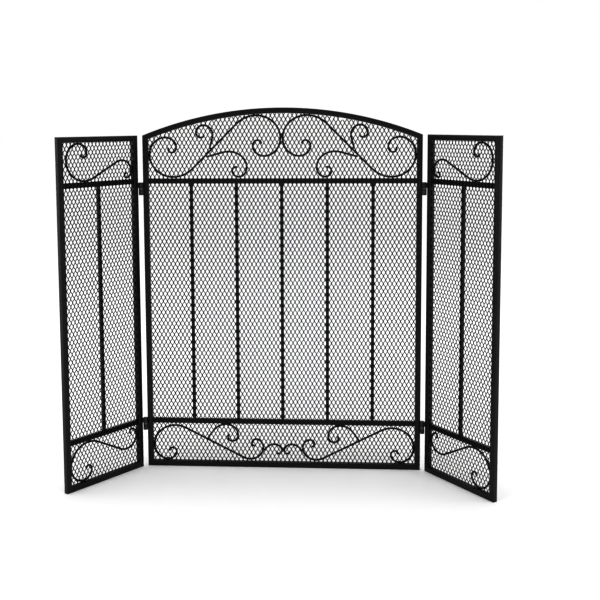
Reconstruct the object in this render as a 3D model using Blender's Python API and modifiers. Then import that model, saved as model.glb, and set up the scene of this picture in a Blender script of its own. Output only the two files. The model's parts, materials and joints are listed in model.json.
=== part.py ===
"""Three-panel folding fireplace screen: a wide centre panel with an arched top and two narrow wings.

Metres, +Z up. The origin is on the floor, under the middle of the centre panel's bottom rail. The panel
lies in the XZ plane. Its mesh is on the -Y side, and both wings fold towards that side.
"""

import math

import bmesh
import bpy

# Overall sizes of the screen: height of the arch, width laid open flat, and depth folded flat.
HEIGHT = 0.80645
OPEN_WIDTH = 1.0541
FOLDED_DEPTH = 0.03175

# Welded frames: square tube outside, lighter tube across, square bar between the crossbars.
TUBE = 0.012
TUBE_WALL = 0.001
TUBE_CORNER = 0.0015
SIDE_HEIGHT = 0.747
WING_WIDTH = 0.2133
HINGE_GAP = 0.0075
CENTRE_WIDTH = OPEN_WIDTH - 2 * (WING_WIDTH + HINGE_GAP)
CROSSBAR_HEIGHT = 0.011
CROSSBAR_DEPTH = 0.0075
CROSSBAR_CORNER = 0.001
UPPER_CROSSBAR_Z = 0.6465
LOWER_CROSSBAR_Z = 0.104
BAR = 0.007
BAR_BEVEL = 0.0007
BAR_PITCH = 0.1
BAR_COUNT = 5

# Expanded-metal sheet, as the flat sheet that weighs the same, set back from the frame's near face.
MESH_SHEET = 0.0005
MESH_Y = -0.0026
BEHIND_MESH_Y = -0.0017

# Scrolls of round rod, in the plane of the crossbars.
ROD = 0.004
ROD_POINT_TURN = math.radians(24)
ROD_POINT_STEP = 0.03

# Hinges: two knuckles and a washer on a pin, standing proud of the mesh side.
HINGE_HEIGHT = 0.028
HINGE_Z = {"upper": 0.630, "lower": 0.0995}
PIN_RADIUS = 0.0025
WASHER = 0.0008
KNUCKLE_CAP = 0.002
KNUCKLE_CHAMFER = 0.0008
HINGE_SIDES = 16
REST_FOLD = math.radians(54)

# Clearance left between touching pieces.
GAP = 0.0003

NEAR_Y = -TUBE / 2
FAR_Y = TUBE / 2
AXIS_Y = FAR_Y - FOLDED_DEPTH / 2
AXIS_X = (CENTRE_WIDTH + HINGE_GAP) / 2
KNUCKLE_RADIUS = math.hypot(HINGE_GAP / 2, NEAR_Y - AXIS_Y) - GAP
RISE = HEIGHT - SIDE_HEIGHT
ARCH_RADIUS = ((CENTRE_WIDTH / 2) ** 2 + RISE**2) / (2 * RISE)
ARCH_CENTRE_Z = HEIGHT - ARCH_RADIUS
ARCH_STATIONS = 25

# A scroll is a straight run with a spiral arm at each end. Every arm is a chain of spirals, each given by
# its first radius, last radius and sweep in degrees, left turns positive. X runs outwards to the right.
CENTRE_TOP_SCROLL = {
    "middle": (-0.148, 0.7225),
    "heading": 45,
    "half_straight": 0.0695,
    "ahead": [(0.065, 0.012, -345), (0.012, 0.005, -150)],
    "behind": [(0.064, 0.010, -355), (0.010, 0.006, -160)],
}
CENTRE_BOTTOM_SCROLL = {
    "middle": (-0.155, 0.0535),
    "heading": -27,
    "half_straight": 0.0725,
    "ahead": [(0.037, 0.010, 225), (0.010, 0.005, 155)],
    "behind": [(0.057, 0.010, 305), (0.010, 0.0058, 170)],
}
WING_TOP_SCROLL = {
    "middle": (0.0863, 0.6755),
    "heading": 154,
    "half_straight": 0.036,
    "ahead": [(0.033, 0.005, 235), (0.005, 0.0045, 150)],
    "behind": [(0.055, 0.007, 350), (0.007, 0.006, 120)],
}
WING_BOTTOM_SCROLL = {
    "middle": (0.0918, 0.0718),
    "heading": 208,
    "half_straight": 0.0355,
    "ahead": [(0.038, 0.006, -220), (0.006, 0.005, -120)],
    "behind": [(0.057, 0.007, -350), (0.007, 0.006, -120)],
}

# A branch leaves the side of a scroll's straight run, "along" from its middle, on the left (+1) or
# right (-1).
TOP_LEAF = {"along": -0.0105, "side": 1, "turn": 30, "straight": 0.024, "arm": [(0.024, 0.004, 370)]}
TOP_TENDRIL = {
    "along": -0.0276,
    "side": -1,
    "turn": -30,
    "straight": 0.037,
    "arm": [(0.050, 0.0186, -144), (0.0186, 0.004, -264)],
}
BOTTOM_LEAF = {
    "along": -0.0181,
    "side": 1,
    "turn": 80,
    "straight": 0.020,
    "arm": [(0.0396, 0.0136, -180), (0.0136, 0.0045, -207)],
}
BOTTOM_CURL_START = (-0.0415, 0.0375)
BOTTOM_CURL_HEADING = 62
BOTTOM_CURL_ARM = [(0.029, 0.007, -175), (0.007, 0.005, -145)]


def clear_scene():
    for obj in list(bpy.data.objects):
        bpy.data.objects.remove(obj)


def new_collection(name):
    collection = bpy.data.collections.new(name)
    bpy.context.scene.collection.children.link(collection)
    return collection


def new_material(name, colour, roughness, metallic):
    material = bpy.data.materials.new(name)
    material.use_nodes = True
    shader = material.node_tree.nodes["Principled BSDF"]
    shader.inputs["Base Color"].default_value = (*colour, 1)
    shader.inputs["Roughness"].default_value = roughness
    shader.inputs["Metallic"].default_value = metallic
    return material


def place(name, data, material, parent=None):
    """One named piece, in the screen's collection. A wing's piece is given in its pivot's own frame."""
    obj = bpy.data.objects.new(name, data)
    data.materials.append(material)
    obj.parent = parent
    SCREEN.objects.link(obj)
    return obj


def to_mesh(bm, name):
    mesh = bpy.data.meshes.new(name)
    bm.to_mesh(mesh)
    bm.free()
    return mesh


class Panel:
    """Maps a panel's own plane, X outwards and Z up, to the frame that its pieces are built in."""

    def __init__(self, name, parent=None, start_x=0.0, shift_y=0.0, side=1):
        self.name = name
        self.parent = parent
        self.start_x = start_x
        self.shift_y = shift_y
        self.side = side

    def point(self, x, y, z):
        return (self.side * (self.start_x + x), y + self.shift_y, z)

    def place(self, name, data, material):
        return place(f"{self.name}_{name}", data, material, self.parent)


def rounded_section(width, depth, corner):
    """Points of a rectangle with cut-off rounded corners, as shares of its width and depth."""
    middles = ((corner, corner, 180), (width - corner, corner, 270))
    middles += ((width - corner, depth - corner, 0), (corner, depth - corner, 90))
    points = []
    for across, deep, first in middles:
        for turn in (0, 45, 90):
            angle = math.radians(first + turn)
            points.append(
                (
                    (across + corner * math.cos(angle)) / width,
                    (deep + corner * math.sin(angle)) / depth,
                )
            )
    return points


def inner_section(width, depth, corner, wall):
    """The same section drawn one wall further in."""
    inside = rounded_section(width - 2 * wall, depth - 2 * wall, corner - wall)
    across = 1 - 2 * wall / width
    deep = 1 - 2 * wall / depth
    return [(wall / width + u * across, wall / depth + v * deep) for u, v in inside]


def tube(panel, name, stations, width, y_range, corner, material):
    """A hollow tube lofted through stations, each the outer and inner point of the tube's section in X, Z.

    The first and last stations are the end cuts, so a slanting station makes a mitre.
    """
    near, far = y_range
    outer = rounded_section(width, far - near, corner)
    inner = inner_section(width, far - near, corner, TUBE_WALL)
    bm = bmesh.new()

    def ring(station, section):
        (x0, z0), (x1, z1) = station
        corners = [
            (x0 + u * (x1 - x0), near + v * (far - near), z0 + u * (z1 - z0)) for u, v in section
        ]
        return [bm.verts.new(panel.point(*corner)) for corner in corners]

    def skin(first, second):
        for i, vert in enumerate(first):
            after = (i + 1) % len(first)
            bm.faces.new((vert, first[after], second[after], second[i]))

    outer_rings = [ring(station, outer) for station in stations]
    inner_rings = [ring(station, inner) for station in stations]
    for rings in (outer_rings, inner_rings):
        for first, second in zip(rings, rings[1:]):
            skin(first, second)
    skin(outer_rings[0], inner_rings[0])
    skin(outer_rings[-1], inner_rings[-1])
    bmesh.ops.recalc_face_normals(bm, faces=bm.faces)
    return panel.place(name, to_mesh(bm, name), material)


def bar(panel, name, x, bottom, top, material):
    """A solid square bar standing behind the mesh."""
    bm = bmesh.new()
    bmesh.ops.create_cube(bm, size=1)
    middle = panel.point(x, BEHIND_MESH_Y + BAR / 2, (bottom + top) / 2)
    bmesh.ops.scale(bm, vec=(BAR, BAR, top - bottom), verts=bm.verts)
    bmesh.ops.translate(bm, vec=middle, verts=bm.verts)
    obj = panel.place(name, to_mesh(bm, name), material)
    bevel = obj.modifiers.new("eased_edges", "BEVEL")
    bevel.width = BAR_BEVEL
    bevel.segments = 1
    return obj


def mesh_sheet(panel, outline, material):
    """The expanded-metal sheet's outline as a flat plate just inside its frame."""
    curve = bpy.data.curves.new("sheet", "CURVE")
    curve.dimensions = "2D"
    curve.fill_mode = "BOTH"
    curve.extrude = MESH_SHEET / 2
    spline = curve.splines.new("POLY")
    spline.points.add(len(outline) - 1)
    for point, (x, z) in zip(spline.points, outline):
        place_x = panel.point(x, 0, z)[0]
        point.co = (place_x, z, 0, 1)
    spline.use_cyclic_u = True
    obj = panel.place("mesh", curve, material)
    obj.rotation_euler.x = math.radians(90)
    obj.location.y = panel.point(0, MESH_Y, 0)[1]
    return obj


def spiral(start, heading, first_radius, last_radius, sweep):
    """Points of a spiral whose radius changes evenly with the angle turned, and its last heading."""
    count = max(2, math.ceil(abs(math.radians(sweep)) / ROD_POINT_TURN))
    turn = math.radians(sweep) / count
    x, z = start
    points = []
    for i in range(count):
        radius = first_radius + (last_radius - first_radius) * (i + 0.5) / count
        chord = 2 * radius * math.sin(abs(turn) / 2)
        x += chord * math.cos(heading + turn / 2)
        z += chord * math.sin(heading + turn / 2)
        heading += turn
        points.append((x, z))
    return points, heading


def arm_points(start, heading, straight, arm):
    """A straight run and then a chain of spirals, without the start point."""
    points = []
    x, z = start
    if straight:
        steps = math.ceil(straight / ROD_POINT_STEP)
        for i in range(1, steps + 1):
            way = straight * i / steps
            points.append((x + way * math.cos(heading), z + way * math.sin(heading)))
        x, z = points[-1]
    for first_radius, last_radius, sweep in arm:
        made, heading = spiral((x, z), heading, first_radius, last_radius, sweep)
        points += made
        x, z = made[-1]
    return points


def scroll_points(scroll):
    middle = scroll["middle"]
    heading = math.radians(scroll["heading"])
    ahead = arm_points(middle, heading, scroll["half_straight"], scroll["ahead"])
    behind = arm_points(middle, heading + math.pi, scroll["half_straight"], scroll["behind"])
    return behind[::-1] + [middle] + ahead


def branch_points(scroll, branch):
    """A branch that starts against the side of its scroll's straight run."""
    heading = math.radians(scroll["heading"])
    x, z = scroll["middle"]
    off = branch["side"] * (ROD + GAP)
    x += branch["along"] * math.cos(heading) - off * math.sin(heading)
    z += branch["along"] * math.sin(heading) + off * math.cos(heading)
    leaving = heading + math.radians(branch["turn"])
    return [(x, z)] + arm_points((x, z), leaving, branch["straight"], branch["arm"])


def rod(panel, name, points, material):
    """A bent round rod, centred in the depth of the crossbars."""
    curve = bpy.data.curves.new(name, "CURVE")
    curve.dimensions = "3D"
    curve.bevel_depth = ROD / 2
    curve.bevel_resolution = 1
    curve.use_fill_caps = True
    spline = curve.splines.new("POLY")
    spline.points.add(len(points) - 1)
    for point, (x, z) in zip(spline.points, points):
        point.co = (*panel.point(x, BEHIND_MESH_Y + CROSSBAR_DEPTH / 2, z), 1)
    return panel.place(name, curve, material)


def mirrored(points):
    return [(-x, z) for x, z in points]


def crossbar(panel, name, x_range, z, material):
    """A light tube from stile to stile, behind the mesh."""
    low = z - CROSSBAR_HEIGHT / 2
    high = z + CROSSBAR_HEIGHT / 2
    stations = [((x, low), (x, high)) for x in x_range]
    depth = (BEHIND_MESH_Y, BEHIND_MESH_Y + CROSSBAR_DEPTH)
    return tube(panel, name, stations, CROSSBAR_HEIGHT, depth, CROSSBAR_CORNER, material)


def trimmed(stations, amount):
    """The stations with both ends drawn back along the tube, for the clearance at its joints."""
    result = list(stations)
    for end, beside in ((0, 1), (-1, -2)):
        moved = []
        for (x, z), (next_x, next_z) in zip(stations[end], stations[beside]):
            length = math.hypot(next_x - x, next_z - z)
            share = amount / length
            moved.append((x + share * (next_x - x), z + share * (next_z - z)))
        result[end] = tuple(moved)
    return result


def frame_tube(panel, name, stations, material):
    return tube(panel, name, trimmed(stations, GAP), TUBE, (NEAR_Y, FAR_Y), TUBE_CORNER, material)


def arch_z(x, radius):
    return ARCH_CENTRE_Z + math.sqrt(radius**2 - x**2)


def arch_stations():
    """Outer and inner points round the arch, the ends cut on the corner's mitre."""
    half = CENTRE_WIDTH / 2
    inner_half = half - TUBE
    inner_radius = ARCH_RADIUS - TUBE
    reach = math.asin(inner_half / inner_radius)
    outer_reach = math.asin(half / ARCH_RADIUS)
    stations = []
    for i in range(ARCH_STATIONS):
        share = 2 * i / (ARCH_STATIONS - 1) - 1
        outer_x = ARCH_RADIUS * math.sin(share * outer_reach)
        inner_x = inner_radius * math.sin(share * reach)
        outer = (outer_x, arch_z(outer_x, ARCH_RADIUS))
        inner = (inner_x, arch_z(inner_x, inner_radius))
        stations.append((outer, inner))
    return stations


def centre_frame(panel, paint):
    half = CENTRE_WIDTH / 2
    inner = half - TUBE
    left_top, right_top = arch_stations()[0], arch_stations()[-1]
    left_foot = ((-half, 0), (-inner, TUBE))
    right_foot = ((half, 0), (inner, TUBE))
    frame_tube(panel, "left_stile", [left_foot, left_top], paint)
    frame_tube(panel, "right_stile", [right_foot, right_top], paint)
    frame_tube(panel, "bottom_rail", [left_foot, right_foot], paint)
    frame_tube(panel, "arch_rail", arch_stations(), paint)


def centre_infill(panel, paint, mesh_paint):
    inner = CENTRE_WIDTH / 2 - TUBE - GAP
    crossbar(panel, "upper_crossbar", (-inner, inner), UPPER_CROSSBAR_Z, paint)
    crossbar(panel, "lower_crossbar", (-inner, inner), LOWER_CROSSBAR_Z, paint)
    bottom = LOWER_CROSSBAR_Z + CROSSBAR_HEIGHT / 2 + GAP
    top = UPPER_CROSSBAR_Z - CROSSBAR_HEIGHT / 2 - GAP
    for i in range(BAR_COUNT):
        x = (i - (BAR_COUNT - 1) / 2) * BAR_PITCH
        bar(panel, f"bar_{i + 1}", x, bottom, top, paint)
    radius = ARCH_RADIUS - TUBE - GAP
    outline = [(-inner, TUBE + GAP), (inner, TUBE + GAP)]
    for i in range(ARCH_STATIONS):
        x = inner * (1 - 2 * i / (ARCH_STATIONS - 1))
        outline.append((x, arch_z(x, radius)))
    mesh_sheet(panel, outline, mesh_paint)


def centre_scrolls(panel, paint):
    """Six rods on the left of the centre line and their mirror images on the right."""
    curl = [BOTTOM_CURL_START]
    curl += arm_points(BOTTOM_CURL_START, math.radians(BOTTOM_CURL_HEADING), 0, BOTTOM_CURL_ARM)
    rods = {
        "top_scroll": scroll_points(CENTRE_TOP_SCROLL),
        "top_leaf": branch_points(CENTRE_TOP_SCROLL, TOP_LEAF),
        "top_tendril": branch_points(CENTRE_TOP_SCROLL, TOP_TENDRIL),
        "bottom_scroll": scroll_points(CENTRE_BOTTOM_SCROLL),
        "bottom_leaf": branch_points(CENTRE_BOTTOM_SCROLL, BOTTOM_LEAF),
        "bottom_curl": curl,
    }
    for name, points in rods.items():
        rod(panel, f"left_{name}", points, paint)
        rod(panel, f"right_{name}", mirrored(points), paint)


def wing_frame(panel, paint):
    outer = WING_WIDTH - TUBE
    top = SIDE_HEIGHT - TUBE
    hinge_foot = ((0, 0), (TUBE, TUBE))
    outer_foot = ((WING_WIDTH, 0), (outer, TUBE))
    hinge_top = ((0, SIDE_HEIGHT), (TUBE, top))
    outer_top = ((WING_WIDTH, SIDE_HEIGHT), (outer, top))
    frame_tube(panel, "hinge_stile", [hinge_foot, hinge_top], paint)
    frame_tube(panel, "outer_stile", [outer_foot, outer_top], paint)
    frame_tube(panel, "top_rail", [hinge_top, outer_top], paint)
    frame_tube(panel, "bottom_rail", [hinge_foot, outer_foot], paint)


def wing_infill(panel, paint, mesh_paint):
    start = TUBE + GAP
    end = WING_WIDTH - TUBE - GAP
    crossbar(panel, "upper_crossbar", (start, end), UPPER_CROSSBAR_Z, paint)
    crossbar(panel, "lower_crossbar", (start, end), LOWER_CROSSBAR_Z, paint)
    bottom = LOWER_CROSSBAR_Z + CROSSBAR_HEIGHT / 2 + GAP
    top = UPPER_CROSSBAR_Z - CROSSBAR_HEIGHT / 2 - GAP
    bar(panel, "bar", WING_WIDTH / 2, bottom, top, paint)
    high = SIDE_HEIGHT - TUBE - GAP
    outline = [(start, start), (end, start), (end, high), (start, high)]
    mesh_sheet(panel, outline, mesh_paint)
    rod(panel, "top_scroll", scroll_points(WING_TOP_SCROLL), paint)
    rod(panel, "bottom_scroll", scroll_points(WING_BOTTOM_SCROLL), paint)


def turned(name, profile, closed, location, material, parent=None):
    """A turned piece: its profile, of radius and height, is swept round Z."""
    bm = bmesh.new()
    verts = [bm.verts.new((radius, 0, z)) for radius, z in profile]
    for first, second in zip(verts, verts[1:]):
        bm.edges.new((first, second))
    if closed:
        bm.edges.new((verts[-1], verts[0]))
    obj = place(name, to_mesh(bm, name), material, parent)
    obj.location = location
    screw = obj.modifiers.new("turned", "SCREW")
    screw.steps = HINGE_SIDES
    screw.render_steps = HINGE_SIDES
    screw.use_merge_vertices = True
    screw.merge_threshold = 0.00001
    screw.use_smooth_shade = True
    return obj


def knuckle_profile(height, bore):
    """A cup from its closed, chamfered top at the given height down to its open mouth at zero."""
    edge = KNUCKLE_RADIUS - KNUCKLE_CHAMFER
    seat = height - KNUCKLE_CAP
    return [
        (0, height),
        (edge, height),
        (KNUCKLE_RADIUS, height - KNUCKLE_CHAMFER),
        (KNUCKLE_RADIUS, 0),
        (bore, 0),
        (bore, seat),
        (0, seat),
    ]


def hinge(name, side, z, pivot, paint, steel):
    """Wing knuckle above, centre knuckle below, a washer between them and the pin inside."""
    height = (HINGE_HEIGHT - WASHER) / 2 - GAP
    bore = PIN_RADIUS + GAP
    axis = (side * AXIS_X, AXIS_Y)
    upper = knuckle_profile(height, bore)
    lower = [(radius, -up) for radius, up in reversed(upper)]
    wing_face = WASHER / 2 + GAP
    turned(f"{name}_wing_knuckle", upper, False, (0, 0, z + wing_face), paint, pivot)
    turned(f"{name}_centre_knuckle", lower, False, (*axis, z - wing_face), paint)
    ring = [
        (KNUCKLE_RADIUS, WASHER / 2),
        (KNUCKLE_RADIUS, -WASHER / 2),
        (bore, -WASHER / 2),
        (bore, WASHER / 2),
    ]
    turned(f"{name}_washer", ring, True, (*axis, z), steel)
    reach = HINGE_HEIGHT / 2 - KNUCKLE_CAP - GAP
    pin = [(0, reach), (PIN_RADIUS, reach), (PIN_RADIUS, -reach), (0, -reach)]
    turned(f"{name}_pin", pin, False, (*axis, z), steel)


def new_pivot(name, side):
    """The empty on a wing's hinge axis, turned to the angle that the wing stands at."""
    pivot = bpy.data.objects.new(name, None)
    pivot.location = (side * AXIS_X, AXIS_Y, 0)
    pivot.rotation_euler.z = -side * REST_FOLD
    SCREEN.objects.link(pivot)
    return pivot


def main():
    paint = new_material("black_powder_coat", (0.02, 0.02, 0.021), 0.45, 0.0)
    mesh_paint = new_material("black_mesh_paint", (0.022, 0.022, 0.023), 0.5, 0.0)
    hinge_paint = new_material("worn_hinge_paint", (0.09, 0.09, 0.092), 0.35, 0.4)
    steel = new_material("bright_steel", (0.55, 0.55, 0.56), 0.3, 1.0)
    centre = Panel("centre")
    centre_frame(centre, paint)
    centre_infill(centre, paint, mesh_paint)
    centre_scrolls(centre, paint)
    for word, side in (("left", -1), ("right", 1)):
        pivot = new_pivot(f"{word}_wing_pivot", side)
        wing = Panel(f"{word}_wing", pivot, HINGE_GAP / 2, -AXIS_Y, side)
        wing_frame(wing, paint)
        wing_infill(wing, paint, mesh_paint)
        for level, z in HINGE_Z.items():
            hinge(f"{word}_{level}_hinge", side, z, pivot, hinge_paint, steel)


clear_scene()
SCREEN = new_collection("fireplace_screen")
main()
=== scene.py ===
"""Looks of the three-panel folding fireplace screen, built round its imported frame.

Every panel is worked in its own frame: X runs outwards from the middle of the centre panel or from a
wing's hinge side, Y runs through the depth with the mesh side at -Y, and Z is up from the floor. A
panel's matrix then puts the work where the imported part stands. Metres throughout.
"""

import json
import math
import random

import bmesh
import bpy
from mathutils import Matrix, Vector, noise


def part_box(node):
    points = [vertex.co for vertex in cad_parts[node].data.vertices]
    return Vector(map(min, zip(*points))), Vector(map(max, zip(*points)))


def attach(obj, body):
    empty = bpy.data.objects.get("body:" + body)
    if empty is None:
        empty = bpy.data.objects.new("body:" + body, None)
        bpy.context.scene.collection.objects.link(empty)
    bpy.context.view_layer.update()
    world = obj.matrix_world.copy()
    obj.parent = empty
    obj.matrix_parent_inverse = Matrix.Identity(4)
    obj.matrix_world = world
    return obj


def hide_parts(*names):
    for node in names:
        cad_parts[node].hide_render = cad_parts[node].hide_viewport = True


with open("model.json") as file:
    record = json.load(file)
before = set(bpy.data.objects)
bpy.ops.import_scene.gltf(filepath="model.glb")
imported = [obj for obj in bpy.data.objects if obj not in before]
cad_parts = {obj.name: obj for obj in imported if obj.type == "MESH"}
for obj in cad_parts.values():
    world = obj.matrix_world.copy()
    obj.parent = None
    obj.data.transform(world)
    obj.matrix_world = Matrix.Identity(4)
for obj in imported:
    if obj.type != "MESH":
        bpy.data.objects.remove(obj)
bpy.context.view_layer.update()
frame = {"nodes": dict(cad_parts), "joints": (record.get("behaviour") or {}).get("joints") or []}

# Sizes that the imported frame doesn't state.
SIDE_HEIGHT = 0.747
WING_WIDTH = 0.2133
REST_FOLD = math.radians(54)
TUBE_CORNER = 0.0015
CROSSBAR_CORNER = 0.001
BAR_CORNER = 0.0009
ROD_RADIUS = 0.002
GAP = 0.0003

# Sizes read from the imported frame.
STILE_LOW, STILE_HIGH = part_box("centre_left_stile")
UPPER_LOW, UPPER_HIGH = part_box("centre_upper_crossbar")
LOWER_LOW, LOWER_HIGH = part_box("centre_lower_crossbar")
BAR_LOW, BAR_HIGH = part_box("centre_bar_1")
AXIS = Vector(next(j["pos_m"] for j in frame["joints"] if j["child"] == "right_wing"))
HALF_WIDTH = -STILE_LOW.x
TUBE = STILE_HIGH.x - STILE_LOW.x
INNER_HALF = HALF_WIDTH - TUBE
NEAR_Y = STILE_LOW.y
FAR_Y = STILE_HIGH.y
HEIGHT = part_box("centre_arch_rail")[1].z
HINGE_GAP = 2 * (AXIS.x - HALF_WIDTH)
BAR = BAR_HIGH.x - BAR_LOW.x
BAR_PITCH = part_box("centre_bar_2")[0].x - BAR_LOW.x
BAR_COUNT = 5
ROD_Y = (UPPER_LOW.y + UPPER_HIGH.y) / 2

RISE = HEIGHT - SIDE_HEIGHT
ARCH_RADIUS = (HALF_WIDTH**2 + RISE**2) / (2 * RISE)
ARCH_CENTRE_Z = HEIGHT - ARCH_RADIUS
ARCH_STATIONS = 73

# How finely round corners are cut, the angle past which an edge stays sharp, and how far a piece
# reaches into the one that it is welded to.
CORNER_STEPS = 4
CREASE = 35
BITE = 0.0002

# Scrolls, as the design has them: a straight run with a spiral arm at each end. Every arm is a chain of
# spirals, each given by its first radius, last radius and sweep in degrees, left turns positive.
CENTRE_TOP_SCROLL = {
    "middle": (-0.148, 0.7225),
    "heading": 45,
    "half_straight": 0.0695,
    "ahead": [(0.065, 0.012, -345), (0.012, 0.005, -150)],
    "behind": [(0.064, 0.010, -355), (0.010, 0.006, -160)],
}
CENTRE_BOTTOM_SCROLL = {
    "middle": (-0.155, 0.0535),
    "heading": -27,
    "half_straight": 0.0725,
    "ahead": [(0.037, 0.010, 225), (0.010, 0.005, 155)],
    "behind": [(0.057, 0.010, 305), (0.010, 0.0058, 170)],
}
WING_TOP_SCROLL = {
    "middle": (0.0863, 0.6755),
    "heading": 154,
    "half_straight": 0.036,
    "ahead": [(0.033, 0.005, 235), (0.005, 0.0045, 150)],
    "behind": [(0.055, 0.007, 350), (0.007, 0.006, 120)],
}
WING_BOTTOM_SCROLL = {
    "middle": (0.0918, 0.0718),
    "heading": 208,
    "half_straight": 0.0355,
    "ahead": [(0.038, 0.006, -220), (0.006, 0.005, -120)],
    "behind": [(0.057, 0.007, -350), (0.007, 0.006, -120)],
}
# A branch leaves the side of a scroll's straight run, "along" from its middle, on its left (+1) or
# right (-1).
TOP_LEAF = {"along": -0.0105, "side": 1, "turn": 30, "straight": 0.024, "arm": [(0.024, 0.004, 370)]}
TOP_TENDRIL = {
    "along": -0.0276,
    "side": -1,
    "turn": -30,
    "straight": 0.037,
    "arm": [(0.050, 0.0186, -144), (0.0186, 0.004, -264)],
}
BOTTOM_LEAF = {
    "along": -0.0181,
    "side": 1,
    "turn": 80,
    "straight": 0.020,
    "arm": [(0.0396, 0.0136, -180), (0.0136, 0.0045, -207)],
}
BOTTOM_CURL_START = (-0.0415, 0.0375)
BOTTOM_CURL_HEADING = 62
BOTTOM_CURL_ARM = [(0.029, 0.007, -175), (0.007, 0.005, -145)]
ROD_POINT_TURN = math.radians(24)
ROD_ARC_STEPS = 4
ROD_POINT_STEP = 0.03

# The rods as they look painted, their sides and the rings of their domed ends, in degrees from the side.
PAINTED_ROD_RADIUS = 0.00225
ROD_SIDES = 14
DOME_RINGS = (20, 40, 60, 78)
DOME_HEIGHT = 0.8

# Expanded metal: tall diamond holes in staggered columns, cut from one sheet. A bond is the flat spot
# where four strands meet.
HOLE_PITCH_X = 0.0095
HOLE_PITCH_Z = 0.0168
BOND_HALF_WIDTH = 0.0014
BOND_HALF_FLAT = 0.0013
BOND_HALF_HEIGHT = 0.00235
SHEET = 0.0009
SHEET_Y = -0.0029
STRAND_RAISE = 0.00045
SHEET_WAVE = 0.00015
SHEET_WAVE_SCALE = 22
SHEET_CREASE = 30
SCRAP_FACES = 12
ARCH_CHORDS = 24
ARCH_CHORD_REACH = 0.01

# Hinge knuckles, turned, and the beads that weld them on.
HINGE_SIDES = 40
KNUCKLE_CAP = 0.002
KNUCKLE_EASE = 0.0009
KNUCKLE_EASE_STEPS = 4
KNUCKLE_LIP = 0.0003
HINGE_BEAD = 0.0013
HINGE_BEAD_OUT = 0.0004
HINGE_BEAD_INSET = 0.001

# Weld beads: the radius, the length and rise of a ripple, how narrow an end is and how uneven the
# radius, and the seams ground smooth on the mitred corners.
BEAD = 0.0011
BEAD_RIPPLE = 0.0009
BEAD_RIPPLE_STEPS = 3
BEAD_RIPPLE_RISE = 0.1
BEAD_END = 0.45
BEAD_UNEVEN = 0.07
BEAD_SIDES = 10
SEAM_HALF = 0.0014
SEAM_PROUD = 0.00012

# Tacks: the sizes of those on the scrolls, at the rods' first ends and on the mesh, their shape and
# spacing, and how near a rod comes to a wall that it is tacked to.
TACK = 0.0021
END_TACK = 1.05 * TACK
MESH_TACK = 0.0016
TACK_FLAT = 0.8
END_TACK_FLAT = 0.85
TACK_UNEVEN = 0.15
TACK_SWELL = 0.16
TACK_SWELL_SCALE = 1.6
TACK_SET_IN = 0.0006
TACK_PITCH = 0.1
CONTACT_REACH = 0.0014

# First seeds of the numbers that make welds uneven.
BAR_WELD_SEED = 1
SCROLL_TACK_SEED = 100
HINGE_BEAD_SEED = 400
MESH_TACK_SEED = 700

# The camera: where it stands, where it looks, and its picture's shift.
CAMERA_PLACE = (0.137273, -2.099822, 0.781121)
CAMERA_YAW = math.radians(-3.55)
CAMERA_PITCH = math.radians(5.689)
CAMERA_ROLL = math.radians(-0.284)
CAMERA_LENS = 57.675
CAMERA_SHIFT = (0.025, -0.1417)
VIEW_GAMMA = 0.7

# The studio: the floor, the surroundings' light at the horizon and overhead, and soft lights as place,
# aim, size and watts.
FLOOR_HALF = 30
FLOOR_DROP = 0.0001
FLOOR_SHADE = (0.92, 0.92, 0.92, 1)
HORIZON_LIGHT = 0.38
OVERHEAD_LIGHT = 1.48
SOFTBOXES = {
    "key": ((-2.0, -2.4, 2.8), (0, 0, 0.4), (0.8, 0.8), 20),
    "fill": ((2.4, -2.2, 2.0), (0, 0, 0.4), (0.5, 1.2), 10),
    "left_strip": ((-2.4, -0.2, 0.9), (-0.4, -0.1, 0.4), (0.3, 1.5), 6),
    "right_strip": ((2.4, -0.2, 0.9), (0.4, -0.1, 0.4), (0.3, 1.5), 6),
    "back": ((0.3, 2.6, 2.6), (0, 0, 0.5), (1.4, 0.5), 12),
}


class Panel:
    """A panel's own frame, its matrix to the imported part's frame and the body that it rides on."""

    def __init__(self, name, body, side=0):
        self.name = name
        self.body = body
        self.matrix = Matrix.Identity(4)
        if side:
            stand = Matrix.Translation((side * AXIS.x, AXIS.y, 0))
            turn = Matrix.Rotation(-side * REST_FOLD, 4, "Z")
            mirror = Matrix.Diagonal((side, 1, 1, 1))
            self.matrix = stand @ turn @ mirror @ Matrix.Translation((HINGE_GAP / 2, -AXIS.y, 0))

    def piece(self, name, bm, slot, stands_for=(), crease=CREASE):
        """Turns a mesh in this frame into a piece of the screen that rides on the panel's body."""
        bm.transform(self.matrix)
        bmesh.ops.recalc_face_normals(bm, faces=bm.faces)
        mesh = bpy.data.meshes.new(name)
        bm.to_mesh(mesh)
        bm.free()
        mesh.materials.append(MATERIALS[slot])
        mesh.shade_smooth()
        mesh.set_sharp_from_angle(angle=math.radians(crease))
        obj = bpy.data.objects.new(name, mesh)
        bpy.context.scene.collection.objects.link(obj)
        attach(obj, self.body)
        if stands_for:
            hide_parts(*stands_for)
        return obj

    def stand_in(self, node, form, bm, slot):
        """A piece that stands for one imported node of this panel."""
        return self.piece(f"{self.name}_{node}_{form}", bm, slot, [f"{self.name}_{node}"])


# ---------------------------------------------------------------- materials


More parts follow.
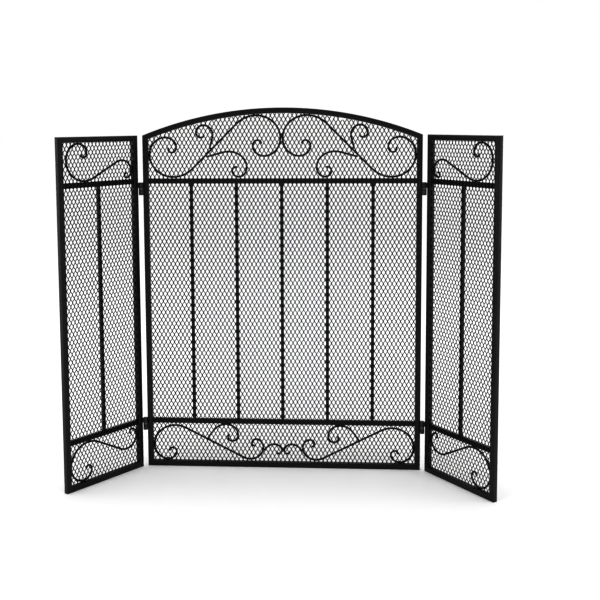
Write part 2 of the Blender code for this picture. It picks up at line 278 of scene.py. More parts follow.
class Nodes:
    """Short calls for building one material's nodes."""

    def __init__(self, name):
        self.material = bpy.data.materials.new(name)
        self.material.use_nodes = True
        self.tree = self.material.node_tree
        self.shader = self.tree.nodes["Principled BSDF"]
        self.place = self.tree.nodes.new("ShaderNodeTexCoord").outputs["Object"]

    def link(self, output, socket):
        self.tree.links.new(output, socket)

    def stretched(self, scale):
        """The surface's place, stretched by a scale for each axis."""
        mapping = self.tree.nodes.new("ShaderNodeMapping")
        mapping.inputs["Scale"].default_value = scale
        self.link(self.place, mapping.inputs["Vector"])
        return mapping.outputs["Vector"]

    def noise(self, scale, detail=3.0, roughness=0.5, place=None):
        """A soft random pattern that stays fixed to the piece."""
        node = self.tree.nodes.new("ShaderNodeTexNoise")
        node.inputs["Scale"].default_value = scale
        node.inputs["Detail"].default_value = detail
        node.inputs["Roughness"].default_value = roughness
        self.link(place or self.place, node.inputs["Vector"])
        return node.outputs["Fac"]

    def ramp(self, factor, stops):
        """A colour ramp through stops, each a position and a colour."""
        node = self.tree.nodes.new("ShaderNodeValToRGB")
        elements = node.color_ramp.elements
        while len(elements) < len(stops):
            elements.new(0.5)
        for element, (position, colour) in zip(elements, stops):
            element.position = position
            element.color = (*colour, 1)
        self.link(factor, node.inputs["Fac"])
        return node.outputs["Color"]

    def between(self, factor, low, high, from_low=0.3, from_high=0.7):
        """A number that runs from low to high as the factor runs over its range."""
        node = self.tree.nodes.new("ShaderNodeMapRange")
        node.inputs["From Min"].default_value = from_low
        node.inputs["From Max"].default_value = from_high
        node.inputs["To Min"].default_value = low
        node.inputs["To Max"].default_value = high
        self.link(factor, node.inputs["Value"])
        return node.outputs["Result"]

    def added(self, first, second, weight):
        """The first value plus the second times a weight."""
        node = self.tree.nodes.new("ShaderNodeMath")
        node.operation = "MULTIPLY_ADD"
        self.link(second, node.inputs[0])
        node.inputs[1].default_value = weight
        self.link(first, node.inputs[2])
        return node.outputs["Value"]

    def bump(self, height, strength, distance):
        """Relief from a pattern of heights."""
        node = self.tree.nodes.new("ShaderNodeBump")
        node.inputs["Strength"].default_value = strength
        node.inputs["Distance"].default_value = distance
        self.link(height, node.inputs["Height"])
        self.link(node.outputs["Normal"], self.shader.inputs["Normal"])

    def settle(self, metallic, specular):
        """Sets what is the same all over and gives the finished material."""
        self.shader.inputs["Metallic"].default_value = metallic
        self.shader.inputs["Specular IOR Level"].default_value = specular
        return self.material


def powder_coat(name, shades, roughness, specular, peel_scale, peel):
    """Satin powder coat: faint shade changes, and orange peel with finer grit on it."""
    nodes = Nodes(name)
    clouds = nodes.noise(14, detail=4)
    specks = nodes.noise(160, detail=3, roughness=0.6)
    deep, pale = shades
    shade = nodes.ramp(nodes.added(clouds, specks, weight=0.35), [(0.42, deep), (0.62, pale), (0.9, pale)])
    nodes.link(shade, nodes.shader.inputs["Base Color"])
    smears = nodes.noise(90, detail=4, roughness=0.6)
    nodes.link(nodes.between(smears, *roughness), nodes.shader.inputs["Roughness"])
    orange_peel = nodes.noise(peel_scale, detail=2)
    grit = nodes.noise(peel_scale * 4, detail=2)
    nodes.bump(nodes.added(orange_peel, grit, weight=0.3), peel, distance=0.0003)
    return nodes.settle(metallic=0.0, specular=specular)


def paint_with_painted_sheen(name):
    """Thin black paint on the hinge barrels. Its grey patches are painted sheen, laid out like paint
    rubbed through to steel.
    """
    nodes = Nodes(name)
    patches = nodes.noise(220, detail=5, roughness=0.65)
    fine = nodes.noise(900, detail=2)
    # The steel grey is painted sheen: lighter patches that stand in for the light the barrels catch.
    black, thin, steel = (0.008, 0.008, 0.0085), (0.02, 0.02, 0.021), (0.09, 0.089, 0.087)
    sheen_patches = nodes.ramp(nodes.added(patches, fine, weight=0.3), [(0.45, black), (0.66, thin), (0.86, steel)])
    nodes.link(sheen_patches, nodes.shader.inputs["Base Color"])
    nodes.link(nodes.between(nodes.noise(420, detail=3), 0.26, 0.42), nodes.shader.inputs["Roughness"])
    nodes.bump(nodes.noise(1400, detail=2), 0.12, distance=0.0002)
    return nodes.settle(metallic=0.15, specular=0.35)


def brushed_steel(name):
    """Turned steel with fine rings round its upright axis."""
    nodes = Nodes(name)
    rings = nodes.noise(60, detail=4, roughness=0.6, place=nodes.stretched((1, 1, 90)))
    dark, bright = (0.33, 0.33, 0.335), (0.56, 0.56, 0.555)
    nodes.link(nodes.ramp(rings, [(0.3, dark), (0.7, bright)]), nodes.shader.inputs["Base Color"])
    nodes.link(nodes.between(rings, 0.24, 0.4), nodes.shader.inputs["Roughness"])
    nodes.bump(rings, 0.1, distance=0.0001)
    return nodes.settle(metallic=1.0, specular=0.5)


def make_materials():
    """The materials by slot. A powder coat has two shades, roughness, specular, peel scale and peel."""
    frame_shades = ((0.0045, 0.0045, 0.0047), (0.0095, 0.0095, 0.0097))
    mesh_shades = ((0.004, 0.004, 0.0042), (0.008, 0.008, 0.0082))
    return {
        "frame_paint": powder_coat("satin_black_frame", frame_shades, (0.28, 0.4), 0.24, 620, 0.3),
        "scroll_paint": powder_coat("satin_black_rod", frame_shades, (0.26, 0.38), 0.26, 760, 0.28),
        "mesh_paint": powder_coat("satin_black_mesh", mesh_shades, (0.3, 0.44), 0.24, 900, 0.24),
        # The hinge barrels' black paint, with grey patches of painted sheen.
        "hinge_paint": paint_with_painted_sheen("hinge_black_with_painted_sheen"),
        "hinge_steel": brushed_steel("turned_steel"),
    }


# ---------------------------------------------------------------- shapes


def skin(bm, rings):
    """A closed skin over rings of the same number of points."""
    made = [[bm.verts.new(point) for point in ring] for ring in rings]
    for first, second in zip(made, made[1:]):
        for i, vert in enumerate(first):
            after = (i + 1) % len(first)
            bm.faces.new((vert, first[after], second[after], second[i]))
    bm.faces.new(made[0][::-1])
    bm.faces.new(made[-1])


def rounded_section(width, depth, corner, grow=0.0):
    """Points of a rectangle with round corners, as shares of its width and depth, grown outwards."""
    middles = ((corner, corner, 180), (width - corner, corner, 270))
    middles += ((width - corner, depth - corner, 0), (corner, depth - corner, 90))
    points = []
    for across, deep, first in middles:
        for step in range(CORNER_STEPS + 1):
            angle = math.radians(first + 90 * step / CORNER_STEPS)
            out_x = (corner + grow) * math.cos(angle)
            out_y = (corner + grow) * math.sin(angle)
            points.append(((across + out_x) / width, (deep + out_y) / depth))
    return points


def section_ring(station, width, y_range, corner, grow=0.0):
    """The section drawn between a station's outer and inner point in X, Z."""
    (x0, z0), (x1, z1) = station
    near, far = y_range
    section = rounded_section(width, far - near, corner, grow)
    return [(x0 + u * (x1 - x0), near + v * (far - near), z0 + u * (z1 - z0)) for u, v in section]


def loft(bm, stations, width, y_range, corner):
    skin(bm, [section_ring(station, width, y_range, corner) for station in stations])


def beside(station, other, amount):
    """The station with both points moved towards another station's."""
    moved = []
    for (x, z), (other_x, other_z) in zip(station, other):
        share = amount / math.hypot(other_x - x, other_z - z)
        moved.append((x + share * (other_x - x), z + share * (other_z - z)))
    return tuple(moved)


def mitre_seam(bm, corner, first, second):
    """A ground weld seam round a mitred corner, a little proud of the two tubes that meet there."""
    rings = []
    for station, grow in (
        (beside(corner, first, SEAM_HALF), -SEAM_PROUD),
        (corner, SEAM_PROUD),
        (beside(corner, second, SEAM_HALF), -SEAM_PROUD),
    ):
        rings.append(section_ring(station, TUBE, (NEAR_Y, FAR_Y), TUBE_CORNER, grow))
    skin(bm, rings)


def tangents(path):
    """The direction of a path at each of its points."""
    last = len(path) - 1
    ways = [path[min(i + 1, last)] - path[max(i - 1, 0)] for i in range(last + 1)]
    return [way.normalized() for way in ways]


def sweep(bm, path, radii, sides):
    """A round closed tube along a path that lies in a plane of constant Y."""
    rings = []
    for point, way, radius in zip(path, tangents(path), radii):
        across = Vector((-way.z, 0, way.x))
        ring = []
        for i in range(sides):
            angle = 2 * math.pi * i / sides
            off = radius * (math.cos(angle) * across + math.sin(angle) * Vector((0, 1, 0)))
            ring.append(point + off)
        rings.append(ring)
    skin(bm, rings)


def domed(path, radius):
    """The path and its radii with a rounded end added beyond both ends."""
    angles = [math.radians(degrees) for degrees in DOME_RINGS]
    ways = tangents(path)
    height = DOME_HEIGHT * radius
    head = [path[0] - ways[0] * (height * math.sin(a)) for a in angles]
    tail = [path[-1] + ways[-1] * (height * math.sin(a)) for a in angles]
    ease = [radius * math.cos(a) for a in angles]
    points = head[::-1] + list(path) + tail
    return points, ease[::-1] + [radius] * len(path) + ease


def bead(bm, start, end, radius, seed):
    """A weld bead with ripples, tapered at both ends."""
    start, end = Vector(start), Vector(end)
    length = (end - start).length
    steps = max(6, round(length / BEAD_RIPPLE) * BEAD_RIPPLE_STEPS)
    draw = random.Random(seed)
    path = []
    radii = []
    for i in range(steps + 1):
        share = i / steps
        from_end = min(share, 1 - share) * length
        end_ease = min(1.0, BEAD_END + 4 * from_end / (3 * radius))
        ripple = 1 + BEAD_RIPPLE_RISE * math.sin(2 * math.pi * share * length / BEAD_RIPPLE)
        path.append(start.lerp(end, share))
        radii.append(radius * end_ease * ripple * draw.uniform(1 - BEAD_UNEVEN, 1 + BEAD_UNEVEN))
    sweep(bm, path, radii, BEAD_SIDES)


def tack(bm, place, size, seed, flat=1.0):
    """A small blob of weld, uneven, and flattened through the depth."""
    made = bmesh.ops.create_icosphere(bm, subdivisions=2, radius=1)
    draw = random.Random(seed)
    drift = Vector([draw.uniform(-50, 50) for _ in range(3)])
    least, most = 1 - TACK_UNEVEN, 1 + TACK_UNEVEN
    stretch = Vector((draw.uniform(least, most), flat, draw.uniform(least, most)))
    for vert in made["verts"]:
        swell = 1 + TACK_SWELL * noise.noise(vert.co * TACK_SWELL_SCALE + drift)
        shaped = Vector(a * b for a, b in zip(vert.co, stretch))
        vert.co = Vector(place) + size * swell * shaped


def turned(bm, centre, profile):
    """A piece turned round an upright axis. The profile runs from pole to pole, or is closed on itself."""
    rings = []
    for radius, up in profile:
        ring = []
        for i in range(HINGE_SIDES if radius else 1):
            angle = 2 * math.pi * i / HINGE_SIDES
            x = centre[0] + radius * math.cos(angle)
            y = centre[1] + radius * math.sin(angle)
            ring.append(bm.verts.new((x, y, centre[2] + up)))
        rings.append(ring)
    pairs = list(zip(rings, rings[1:]))
    if profile[0][0]:
        pairs.append((rings[-1], rings[0]))
    for first, second in pairs:
        for i in range(HINGE_SIDES):
            after = (i + 1) % HINGE_SIDES
            corners = [first[i % len(first)], first[after % len(first)]]
            corners += [second[after % len(second)], second[i % len(second)]]
            bm.faces.new(list(dict.fromkeys(corners)))


# ---------------------------------------------------------------- frame


def arch_z(x, radius):
    return ARCH_CENTRE_Z + math.sqrt(radius**2 - x**2)


def arch_stations():
    """Outer and inner points round the arch, the ends cut on the corner's mitre."""
    inner_radius = ARCH_RADIUS - TUBE
    outer_reach = math.asin(HALF_WIDTH / ARCH_RADIUS)
    inner_reach = math.asin(INNER_HALF / inner_radius)
    stations = []
    for i in range(ARCH_STATIONS):
        share = 2 * i / (ARCH_STATIONS - 1) - 1
        outer_x = ARCH_RADIUS * math.sin(share * outer_reach)
        inner_x = inner_radius * math.sin(share * inner_reach)
        outer = (outer_x, arch_z(outer_x, ARCH_RADIUS))
        inner = (inner_x, arch_z(inner_x, inner_radius))
        stations.append((outer, inner))
    return stations


def centre_runs():
    """Each tube of the centre frame as its stations. The first two corners are the feet."""
    arch = arch_stations()
    left_foot = ((-HALF_WIDTH, 0), (-INNER_HALF, TUBE))
    right_foot = ((HALF_WIDTH, 0), (INNER_HALF, TUBE))
    return {
        "bottom_rail": [left_foot, right_foot],
        "right_stile": [right_foot, arch[-1]],
        "arch_rail": arch[::-1],
        "left_stile": [arch[0], left_foot],
    }


def wing_runs():
    far = WING_WIDTH - TUBE
    top = SIDE_HEIGHT - TUBE
    hinge_foot = ((0, 0), (TUBE, TUBE))
    outer_foot = ((WING_WIDTH, 0), (far, TUBE))
    outer_top = ((WING_WIDTH, SIDE_HEIGHT), (far, top))
    hinge_top = ((0, SIDE_HEIGHT), (TUBE, top))
    return {
        "bottom_rail": [hinge_foot, outer_foot],
        "outer_stile": [outer_foot, outer_top],
        "top_rail": [outer_top, hinge_top],
        "hinge_stile": [hinge_top, hinge_foot],
    }


def build_frame(panel, runs):
    """The panel's four tubes, which go round in order, and the seams where they meet."""
    for name, stations in runs.items():
        bm = bmesh.new()
        loft(bm, stations, TUBE, (NEAR_Y, FAR_Y), TUBE_CORNER)
        panel.stand_in(name, "tube", bm, "frame_paint")
    order = list(runs.values())
    seams = bmesh.new()
    for before, after in zip(order, order[1:] + order[:1]):
        mitre_seam(seams, after[0], before[-2], after[1])
    panel.piece(f"{panel.name}_mitre_seams", seams, "frame_paint")


def crossbar(panel, name, x_range, band):
    bm = bmesh.new()
    low, high = band
    first, last = x_range
    stations = [((x, low), (x, high)) for x in (first - BITE, last + BITE)]
    loft(bm, stations, high - low, (UPPER_LOW.y, UPPER_HIGH.y), CROSSBAR_CORNER)
    panel.stand_in(name, "tube", bm, "frame_paint")


def upright_bar(panel, name, x, z_range):
    bm = bmesh.new()
    low, high = z_range
    stations = [((x - BAR / 2, z), (x + BAR / 2, z)) for z in (low - BITE, high + BITE)]
    loft(bm, stations, BAR, (BAR_LOW.y, BAR_HIGH.y), BAR_CORNER)
    panel.stand_in(name, "square", bm, "frame_paint")


def build_infill(panel, x_range, bars):
    """Both crossbars, the upright bars between them and the beads that weld them in, on the far side."""
    bands = ((UPPER_LOW.z, UPPER_HIGH.z), (LOWER_LOW.z, LOWER_HIGH.z))
    crossbar(panel, "upper_crossbar", x_range, bands[0])
    crossbar(panel, "lower_crossbar", x_range, bands[1])
    z_range = (LOWER_HIGH.z, UPPER_LOW.z)
    for name, x in bars.items():
        upright_bar(panel, name, x, z_range)
    welds = bmesh.new()
    seed = BAR_WELD_SEED
    for x in x_range:
        for low, high in bands:
            bead(welds, (x, UPPER_HIGH.y, low + BEAD), (x, UPPER_HIGH.y, high - BEAD), BEAD, seed)
            seed += 1
    for x in bars.values():
        for z in z_range:
            bead(welds, (x - BAR / 2, BAR_HIGH.y, z), (x + BAR / 2, BAR_HIGH.y, z), BEAD, seed)
            seed += 1
    panel.piece(f"{panel.name}_bar_welds", welds, "frame_paint")


# ---------------------------------------------------------------- scrolls


def spiral(start, heading, first_radius, last_radius, sweep_degrees):
    """Points of a spiral of short arcs whose radius changes evenly, and its last heading."""
    count = max(2, math.ceil(abs(math.radians(sweep_degrees)) / ROD_POINT_TURN))
    turn = math.radians(sweep_degrees) / count / ROD_ARC_STEPS
    x, z = start
    points = []
    for i in range(count):
        radius = first_radius + (last_radius - first_radius) * (i + 0.5) / count
        chord = 2 * radius * math.sin(abs(turn) / 2)
        for _ in range(ROD_ARC_STEPS):
            x += chord * math.cos(heading + turn / 2)
            z += chord * math.sin(heading + turn / 2)
            heading += turn
            points.append((x, z))
    return points, heading


def arm_points(start, heading, straight, arm):
    """A straight run and then a chain of spirals, without the start point."""
    points = []
    x, z = start
    if straight:
        steps = math.ceil(straight / ROD_POINT_STEP)
        for i in range(1, steps + 1):
            way = straight * i / steps
            points.append((x + way * math.cos(heading), z + way * math.sin(heading)))
        x, z = points[-1]
    for first_radius, last_radius, sweep_degrees in arm:
        made, heading = spiral((x, z), heading, first_radius, last_radius, sweep_degrees)
        points += made
        x, z = made[-1]
    return points


def scroll_points(scroll):
    middle = scroll["middle"]
    heading = math.radians(scroll["heading"])
    ahead = arm_points(middle, heading, scroll["half_straight"], scroll["ahead"])
    behind = arm_points(middle, heading + math.pi, scroll["half_straight"], scroll["behind"])
    return behind[::-1] + [middle] + ahead


def branch_points(scroll, branch):
    """A branch that starts against the side of its scroll's straight run."""
    heading = math.radians(scroll["heading"])
    x, z = scroll["middle"]
    off = branch["side"] * (2 * ROD_RADIUS + GAP)
    x += branch["along"] * math.cos(heading) - off * math.sin(heading)
    z += branch["along"] * math.sin(heading) + off * math.cos(heading)
    leaving = heading + math.radians(branch["turn"])
    return [(x, z)] + arm_points((x, z), leaving, branch["straight"], branch["arm"])


def centre_rods():
    """The six rods left of the centre line, by name."""
    curl = arm_points(BOTTOM_CURL_START, math.radians(BOTTOM_CURL_HEADING), 0, BOTTOM_CURL_ARM)
    return {
        "top_scroll": scroll_points(CENTRE_TOP_SCROLL),
        "top_leaf": branch_points(CENTRE_TOP_SCROLL, TOP_LEAF),
        "top_tendril": branch_points(CENTRE_TOP_SCROLL, TOP_TENDRIL),
        "bottom_scroll": scroll_points(CENTRE_BOTTOM_SCROLL),
        "bottom_leaf": branch_points(CENTRE_BOTTOM_SCROLL, BOTTOM_LEAF),
        "bottom_curl": [BOTTOM_CURL_START] + curl,
    }


def rod(panel, name, points):
    path = [Vector((x, ROD_Y, z)) for x, z in points]
    bm = bmesh.new()
    sweep(bm, *domed(path, PAINTED_ROD_RADIUS), ROD_SIDES)
    panel.stand_in(name, "rod", bm, "scroll_paint")


def nearest_contacts(gaps, reach):
    """Where a row of gaps has a low point that is within reach."""
    found = []
    for i in range(1, len(gaps) - 1):
        if gaps[i] < reach and gaps[i] <= gaps[i - 1] and gaps[i] < gaps[i + 1]:
            found.append(i)
    return found


def wall_gaps(point, walls):
    """The gap from a rod's side to each wall, and the place on the wall."""
    x, z = point
    found = []
    for kind, at in walls:
        if kind == "x":
            found.append((abs(x - at) - ROD_RADIUS, (at, z)))
        elif kind == "z":
            found.append((abs(z - at) - ROD_RADIUS, (x, at)))
        else:
            reach = math.hypot(x, z - ARCH_CENTRE_Z)
            share = at / reach
            on_arch = (x * share, ARCH_CENTRE_Z + (z - ARCH_CENTRE_Z) * share)
            found.append((abs(reach - at) - ROD_RADIUS, on_arch))
    return found


def scroll_tacks(panel, rods, walls, tack_ends=False):
    """Tacks where the rods touch a wall: the frame, a crossbar or, at x 0, their twin.

    With tack_ends, every rod also has one at its first point, where a branch leaves its scroll.
    """
    bm = bmesh.new()
    seed = SCROLL_TACK_SEED
    for points in rods:
        rows = [wall_gaps(point, walls) for point in points]
        for wall in range(len(walls)):
            gaps = [row[wall][0] for row in rows]
            for i in nearest_contacts(gaps, CONTACT_REACH):
                x, z = rows[i][wall][1]
                inward = Vector((points[i][0] - x, 0, points[i][1] - z)).normalized()
                tack(bm, Vector((x, ROD_Y, z)) + TACK_SET_IN * inward, TACK, seed, TACK_FLAT)
                seed += 1
        if tack_ends:
            x, z = points[0]
            tack(bm, (x, ROD_Y, z), END_TACK, seed, END_TACK_FLAT)
            seed += 1
    panel.piece(f"{panel.name}_scroll_tacks", bm, "scroll_paint")


def mirrored(points):
    return [(-x, z) for x, z in points]


# ---------------------------------------------------------------- expanded metal


def add_bond(bm, bonds, column, row):
    """One bond of the sheet, where four strands meet. It leans, as cut and stretched metal does."""
    x = column * HOLE_PITCH_X / 2
    z = row * HOLE_PITCH_Z / 2
    wave = SHEET_WAVE * noise.noise(Vector((x, 0, z)) * SHEET_WAVE_SCALE)
    outline = (
        (BOND_HALF_WIDTH, -BOND_HALF_FLAT),
        (BOND_HALF_WIDTH, BOND_HALF_FLAT),
        (0, BOND_HALF_HEIGHT),
        (-BOND_HALF_WIDTH, BOND_HALF_FLAT),
        (-BOND_HALF_WIDTH, -BOND_HALF_FLAT),
        (0, -BOND_HALF_HEIGHT),
    )
    verts = []
    for across, up in outline:
        lean = -STRAND_RAISE * across / BOND_HALF_WIDTH
        verts.append(bm.verts.new((x + across, SHEET_Y + wave + lean, z + up)))
    bm.faces.new(verts)
    bonds[column, row] = verts


def trim(bm, place, outward, reach=None):
    """Cuts the web off beyond a plane. With reach, only near it in X.

    Dicts in place of sets here and below keep the mesh's order the same on every run.
    """
    faces = bm.faces
    if reach:
        low, high = reach
        faces = [f for f in faces if low <= f.calc_center_bounds().x <= high]
    edges = dict.fromkeys(edge for face in faces for edge in face.edges)
    verts = dict.fromkeys(vert for edge in edges for vert in edge.verts)
    geom = [*verts, *edges, *faces]
    bmesh.ops.bisect_plane(bm, geom=geom, dist=1e-7, plane_co=place, plane_no=outward, clear_outer=True)


def drop_scraps(bm, fewest):
    """Removes bits of the web that the trimming left hanging on nothing."""
    waiting = dict.fromkeys(bm.faces)
    scraps = []
    while waiting:
        patch = [waiting.popitem()[0]]
        for face in patch:
            for edge in face.edges:
                for other in edge.link_faces:
                    if other in waiting:
                        del waiting[other]
                        patch.append(other)
        if len(patch) < fewest:
            scraps += patch
    bmesh.ops.delete(bm, geom=scraps, context="FACES")
    bmesh.ops.delete(bm, geom=[edge for edge in bm.edges if not edge.link_faces], context="EDGES")
    bmesh.ops.delete(bm, geom=[vert for vert in bm.verts if not vert.link_faces], context="VERTS")


def expanded_metal(panel, x_range, top, planes):
    """The sheet over an opening: bonds and strands, trimmed to the frame and given its thickness."""
    bm = bmesh.new()
    bonds = {}
    first = math.floor(2 * x_range[0] / HOLE_PITCH_X) - 1
    last = math.ceil(2 * x_range[1] / HOLE_PITCH_X) + 1
    for row in range(0, math.ceil(2 * top / HOLE_PITCH_Z) + 2):
        for column in range(first, last + 1):
            if (row + column) % 2:
                add_bond(bm, bonds, column, row)
    for (column, row), verts in bonds.items():
        up_left = bonds.get((column - 1, row + 1))
        up_right = bonds.get((column + 1, row + 1))
        if up_left:
            bm.faces.new((verts[3], verts[2], up_left[0], up_left[5]))
        if up_right:
            bm.faces.new((verts[2], verts[1], up_right[5], up_right[4]))
    for plane in planes:
        trim(bm, *plane)
    drop_scraps(bm, SCRAP_FACES)
    node = f"{panel.name}_mesh"
    obj = panel.piece(f"{panel.name}_expanded_metal", bm, "mesh_paint", [node], SHEET_CREASE)
    sheet = obj.modifiers.new("sheet_thickness", "SOLIDIFY")
    sheet.thickness = SHEET
    sheet.offset = 0


def side_planes(x_range, bottom):
    left, right = x_range
    return [
        ((left, 0, 0), (-1, 0, 0)),
        ((right, 0, 0), (1, 0, 0)),
        ((0, 0, bottom), (0, 0, -1)),
    ]


def arch_planes(x_range, radius):
    """The arch's inner edge as short chords, each a plane that trims the web near it."""
    left, right = x_range
    width = (right - left) / ARCH_CHORDS
    planes = []
    for i in range(ARCH_CHORDS):
        x0 = left + i * width
        x1 = x0 + width
        z0, z1 = arch_z(x0, radius), arch_z(x1, radius)
        outward = (z0 - z1, 0, x1 - x0)
        planes.append(((x0, 0, z0), outward, (x0 - ARCH_CHORD_REACH, x1 + ARCH_CHORD_REACH)))
    return planes


def even_places(low, high):
    """Places about a tack pitch apart between two ends, kept clear of them."""
    count = max(2, round((high - low) / TACK_PITCH))
    return [low + (high - low) * (i + 0.5) / count for i in range(count)]


def mesh_tacks(panel, x_range, sides_top, top_at):
    """Tacks round the opening that fix the sheet's cut edge to the tubes. top_at gives the top's Z."""
    left, right = x_range
    places = [(x, z) for x in x_range for z in even_places(TUBE, sides_top)]
    places += [(x, TUBE) for x in even_places(left, right)]
    places += [(x, top_at(x)) for x in even_places(left, right)]
    bm = bmesh.new()
    for seed, (x, z) in enumerate(places):
        tack(bm, (x, SHEET_Y + SHEET / 2, z), MESH_TACK, MESH_TACK_SEED + seed, TACK_FLAT)
    panel.piece(f"{panel.name}_mesh_tacks", bm, "mesh_paint")


# ---------------------------------------------------------------- hinges


def eased_knuckle(height, radius, bore):
    """Half a hinge barrel: a cup with rounded edges, from its closed end down to its open mouth."""
    profile = [(0, height)]
    for step in range(KNUCKLE_EASE_STEPS + 1):
        angle = math.radians(90 * step / KNUCKLE_EASE_STEPS)
        out = radius - KNUCKLE_EASE + KNUCKLE_EASE * math.sin(angle)
        up = height - KNUCKLE_EASE + KNUCKLE_EASE * math.cos(angle)
        profile.append((out, up))
    profile += [(radius, KNUCKLE_LIP), (radius - KNUCKLE_LIP, 0), (bore, 0)]
    profile += [(bore, height - KNUCKLE_CAP), (0, height - KNUCKLE_CAP)]
    return profile


def hinge_bead(bm, axis, corner, radius, z_range, seed):
    """The bead in the notch between a knuckle and the rounded corner of its stile."""
    towards = (Vector(corner) - Vector(axis)).normalized()
    x, y = Vector(axis) + towards * (radius + HINGE_BEAD_OUT)
    low, high = z_range
    bead(bm, (x, y, low + HINGE_BEAD_INSET), (x, y, high - HINGE_BEAD_INSET), HINGE_BEAD, seed)


def build_hinge(name, centre, wing, side, seed):
    """Both knuckles and the washer of one hinge, and their beads."""
    pin_low, pin_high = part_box(f"{name}_pin")
    ring_low, ring_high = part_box(f"{name}_washer")
    wing_low, wing_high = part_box(f"{name}_wing_knuckle")
    centre_low, centre_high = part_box(f"{name}_centre_knuckle")
    radius = (ring_high.x - ring_low.x) / 2
    bore = (pin_high.x - pin_low.x) / 2 + GAP
    height = wing_high.z - wing_low.z
    centre_axis = (side * AXIS.x, AXIS.y)
    wing_axis = (-HINGE_GAP / 2, AXIS.y)
    upper = eased_knuckle(height, radius, bore)
    lower = [(out, -up) for out, up in upper]

    bm = bmesh.new()
    turned(bm, (*wing_axis, wing_low.z), upper)
    corner = (TUBE_CORNER, NEAR_Y + TUBE_CORNER)
    hinge_bead(bm, wing_axis, corner, radius, (wing_low.z, wing_high.z), seed)
    wing.piece(f"{name}_wing_barrel", bm, "hinge_paint", [f"{name}_wing_knuckle"])

    bm = bmesh.new()
    turned(bm, (*centre_axis, centre_high.z), lower)
    corner = (side * (HALF_WIDTH - TUBE_CORNER), NEAR_Y + TUBE_CORNER)
    hinge_bead(bm, centre_axis, corner, radius, (centre_low.z, centre_high.z), seed + 1)
    centre.piece(f"{name}_centre_barrel", bm, "hinge_paint", [f"{name}_centre_knuckle"])

    bm = bmesh.new()
    half = (ring_high.z - ring_low.z) / 2
    ease = half / 2
    ring = [(radius - ease, half), (radius, half - ease), (radius, ease - half), (radius - ease, -half)]
    ring += [(bore, -half), (bore, half)]
    turned(bm, (*centre_axis, (ring_low.z + ring_high.z) / 2), ring)
    centre.piece(f"{name}_washer_ring", bm, "hinge_steel", [f"{name}_washer"])

    pin = frame["nodes"][f"{name}_pin"]
    pin.data.materials.clear()
    pin.data.materials.append(MATERIALS["hinge_steel"])


# ---------------------------------------------------------------- studio


def add_floor():
    """A wide pale floor, not part of the screen."""
    nodes = Nodes("pale_floor")
    nodes.shader.inputs["Base Color"].default_value = FLOOR_SHADE
    nodes.shader.inputs["Roughness"].default_value = 0.9
    nodes.settle(metallic=0.0, specular=0.0)
    bm = bmesh.new()
    bmesh.ops.create_grid(bm, x_segments=2, y_segments=2, size=FLOOR_HALF)
    mesh = bpy.data.meshes.new("floor")
    bm.to_mesh(mesh)
    bm.free()
    mesh.materials.append(nodes.material)
    floor = bpy.data.objects.new("floor", mesh)
    floor.location.z = -FLOOR_DROP
    bpy.context.scene.collection.objects.link(floor)


def add_world(horizon, overhead):
    """A soft studio: dim at the horizon and bright overhead, with a white backdrop behind the screen."""
    world = bpy.data.worlds.new("studio")
    bpy.context.scene.world = world
    world.use_nodes = True
    tree = world.node_tree
    light = tree.nodes["Background"]
    light.inputs["Color"].default_value = (1, 1, 1, 1)
    backdrop = tree.nodes.new("ShaderNodeBackground")
    backdrop.inputs["Color"].default_value = (1, 1, 1, 1)
    path = tree.nodes.new("ShaderNodeLightPath")
    mix = tree.nodes.new("ShaderNodeMixShader")
    place = tree.nodes.new("ShaderNodeTexCoord")
    split = tree.nodes.new("ShaderNodeSeparateXYZ")
    climb = tree.nodes.new("ShaderNodeMapRange")
    climb.inputs["To Min"].default_value = horizon
    climb.inputs["To Max"].default_value = overhead
    tree.links.new(place.outputs["Generated"], split.inputs["Vector"])
    tree.links.new(split.outputs["Z"], climb.inputs["Value"])
    tree.links.new(climb.outputs["Result"], light.inputs["Strength"])
    tree.links.new(path.outputs["Is Camera Ray"], mix.inputs["Fac"])
    tree.links.new(light.outputs["Background"], mix.inputs[1])
    tree.links.new(backdrop.outputs["Background"], mix.inputs[2])
    tree.links.new(mix.outputs["Shader"], tree.nodes["World Output"].inputs["Surface"])


def add_softbox(name, place, aim, size, watts):
    """A soft light that looks at a point."""
    data = bpy.data.lights.new(name, "AREA")
    data.shape = "RECTANGLE"
    data.size, data.size_y = size
    data.energy = watts
    light = bpy.data.objects.new(name, data)
    light.location = place
    light.rotation_mode = "QUATERNION"
    light.rotation_quaternion = (Vector(aim) - Vector(place)).to_track_quat("-Z", "Y")
    light.visible_camera = False
    bpy.context.scene.collection.objects.link(light)


def add_camera():
    data = bpy.data.cameras.new("camera")
    data.lens = CAMERA_LENS
    data.shift_x, data.shift_y = CAMERA_SHIFT
    camera = bpy.data.objects.new("camera", data)
    bpy.context.scene.collection.objects.link(camera)
    yaw = Matrix.Rotation(-CAMERA_YAW, 4, "Z")
    pitch = Matrix.Rotation(math.pi / 2 - CAMERA_PITCH, 4, "X")
    roll = Matrix.Rotation(CAMERA_ROLL, 4, "Z")
    camera.matrix_world = Matrix.Translation(CAMERA_PLACE) @ yaw @ pitch @ roll
    bpy.context.scene.camera = camera


# ---------------------------------------------------------------- the screen


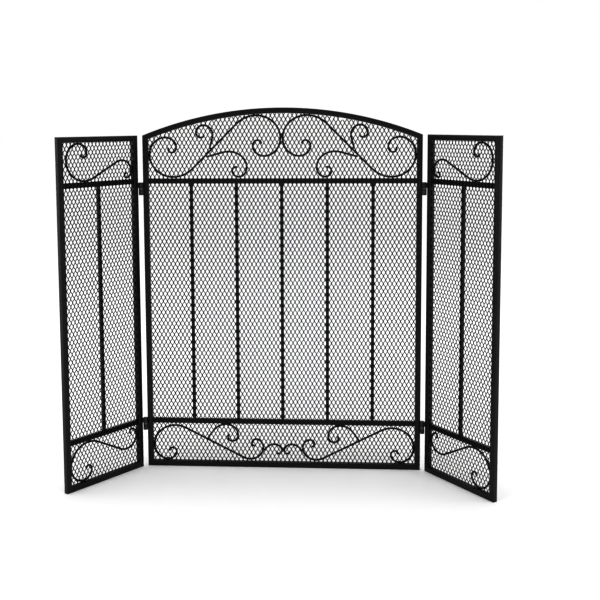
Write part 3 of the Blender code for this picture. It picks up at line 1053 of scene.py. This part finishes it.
def build_centre(panel):
    build_frame(panel, centre_runs())
    bars = {f"bar_{i + 1}": (i - (BAR_COUNT - 1) / 2) * BAR_PITCH for i in range(BAR_COUNT)}
    build_infill(panel, (-INNER_HALF, INNER_HALF), bars)
    rods = centre_rods()
    for name, points in rods.items():
        rod(panel, f"left_{name}", points)
        rod(panel, f"right_{name}", mirrored(points))
    arch = ("arch", ARCH_RADIUS - TUBE)
    walls = [("x", -INNER_HALF), ("x", INNER_HALF), ("x", 0), ("z", TUBE), arch]
    walls += [("z", UPPER_HIGH.z), ("z", LOWER_LOW.z)]
    twins = [mirrored(points) for points in rods.values()]
    scroll_tacks(panel, list(rods.values()) + twins, walls, tack_ends=True)
    x_range = (-INNER_HALF + GAP, INNER_HALF - GAP)
    planes = side_planes(x_range, TUBE + GAP)
    planes += arch_planes(x_range, ARCH_RADIUS - TUBE - GAP)
    expanded_metal(panel, x_range, HEIGHT, planes)
    opening = (-INNER_HALF, INNER_HALF)
    mesh_tacks(panel, opening, SIDE_HEIGHT - TUBE, lambda x: arch_z(x, ARCH_RADIUS - TUBE))


def build_wing(panel):
    build_frame(panel, wing_runs())
    inner = (TUBE, WING_WIDTH - TUBE)
    build_infill(panel, inner, {"bar": WING_WIDTH / 2})
    top_scroll = scroll_points(WING_TOP_SCROLL)
    bottom_scroll = scroll_points(WING_BOTTOM_SCROLL)
    rod(panel, "top_scroll", top_scroll)
    rod(panel, "bottom_scroll", bottom_scroll)
    walls = [("x", inner[0]), ("x", inner[1]), ("z", TUBE), ("z", SIDE_HEIGHT - TUBE)]
    walls += [("z", UPPER_HIGH.z), ("z", LOWER_LOW.z)]
    scroll_tacks(panel, [top_scroll, bottom_scroll], walls)
    x_range = (inner[0] + GAP, inner[1] - GAP)
    planes = side_planes(x_range, TUBE + GAP)
    planes.append(((0, 0, SIDE_HEIGHT - TUBE - GAP), (0, 0, 1)))
    expanded_metal(panel, x_range, SIDE_HEIGHT, planes)
    mesh_tacks(panel, inner, SIDE_HEIGHT - TUBE, lambda x: SIDE_HEIGHT - TUBE)


MATERIALS = make_materials()
CENTRE = Panel("centre", "centre_panel")
build_centre(CENTRE)
for number, (word, side) in enumerate((("left", -1), ("right", 1))):
    wing = Panel(f"{word}_wing", f"{word}_wing", side)
    build_wing(wing)
    for level, place in enumerate(("upper", "lower")):
        seed = HINGE_BEAD_SEED + 10 * number + 4 * level
        build_hinge(f"{word}_{place}_hinge", CENTRE, wing, side, seed)

add_floor()
add_world(HORIZON_LIGHT, OVERHEAD_LIGHT)
for name, (place, aim, size, watts) in SOFTBOXES.items():
    add_softbox(name, place, aim, size, watts)
add_camera()
bpy.context.scene.view_settings.view_transform = "Standard"
bpy.context.scene.view_settings.gamma = VIEW_GAMMA
